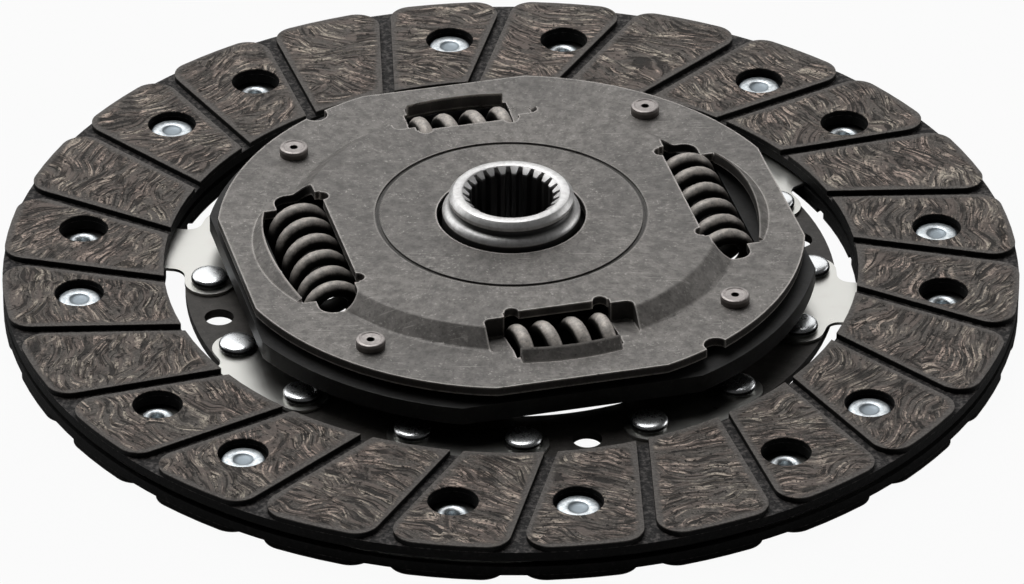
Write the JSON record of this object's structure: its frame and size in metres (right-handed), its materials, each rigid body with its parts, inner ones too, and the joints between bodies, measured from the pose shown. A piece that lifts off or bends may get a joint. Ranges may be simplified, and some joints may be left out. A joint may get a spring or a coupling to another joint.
{
  "type": "clutch disc",
  "caption": "Dry clutch disc with grooved friction facings, cushion segments, a four-spring torsion damper and a splined hub.",
  "frame": {"origin": "on the shaft axis, in the flywheel-side friction face", "axes": "+Z along the shaft axis towards the gearbox side, which carries the cover plate; +X and +Y across the disc"},
  "size_m": [0.215, 0.215, 0.0251],
  "materials": {
    "facing": "matt moulded yarn composite",
    "facing_rivet": "satin plated",
    "zinc_rivet": "bright zinc",
    "drive_plate_steel": "matt phosphate",
    "cover_steel": "matt phosphate",
    "flange_steel": "matt phosphate",
    "hub_steel": "fine turned",
    "segment_steel": "pale spring steel",
    "pin_steel": "satin",
    "long_spring_steel": "dark oiled",
    "short_spring_steel": "tan lacquer",
    "bush": "matt",
    "friction_ring": "matt",
    "washer_steel": "satin"
  },
  "bodies": {
    "disc": {"facing_gearbox_side": "facing", "facing_flywheel_side": "facing", "facing_rivets_head_up": "facing_rivet", "facing_rivets_head_down": "facing_rivet", "segment_rivets": "zinc_rivet", "drive_plate": "drive_plate_steel", "cover_plate": "cover_steel", "centring_bush": "bush", "friction_ring_lower": "friction_ring", "friction_ring_upper": "friction_ring", "support_washer": "washer_steel", "disc_spring": "washer_steel", "cushion_segment_1": "segment_steel", "cushion_segment_2": "segment_steel", "cushion_segment_3": "segment_steel", "cushion_segment_4": "segment_steel", "cushion_segment_5": "segment_steel", "cushion_segment_6": "segment_steel", "cushion_segment_7": "segment_steel", "cushion_segment_8": "segment_steel", "stop_pin_1": "pin_steel", "stop_pin_2": "pin_steel", "stop_pin_3": "pin_steel", "stop_pin_4": "pin_steel", "long_spring_1": "long_spring_steel", "long_spring_2": "long_spring_steel", "short_spring_1": "short_spring_steel", "short_spring_2": "short_spring_steel"},
    "hub": {"hub": "hub_steel", "hub_flange": "flange_steel"}
  },
  "joints": [
    {"name": "hub_turn", "type": "hinge", "parent": "disc", "child": "hub", "pos_m": [0, 0, 0.0106], "axis": [0, 0, 1], "range_deg": [-8, 10], "stiffness_Nm_per_rad": 10, "deforming": ["long_spring_1", "long_spring_2", "short_spring_1", "short_spring_2"]}
  ]
}
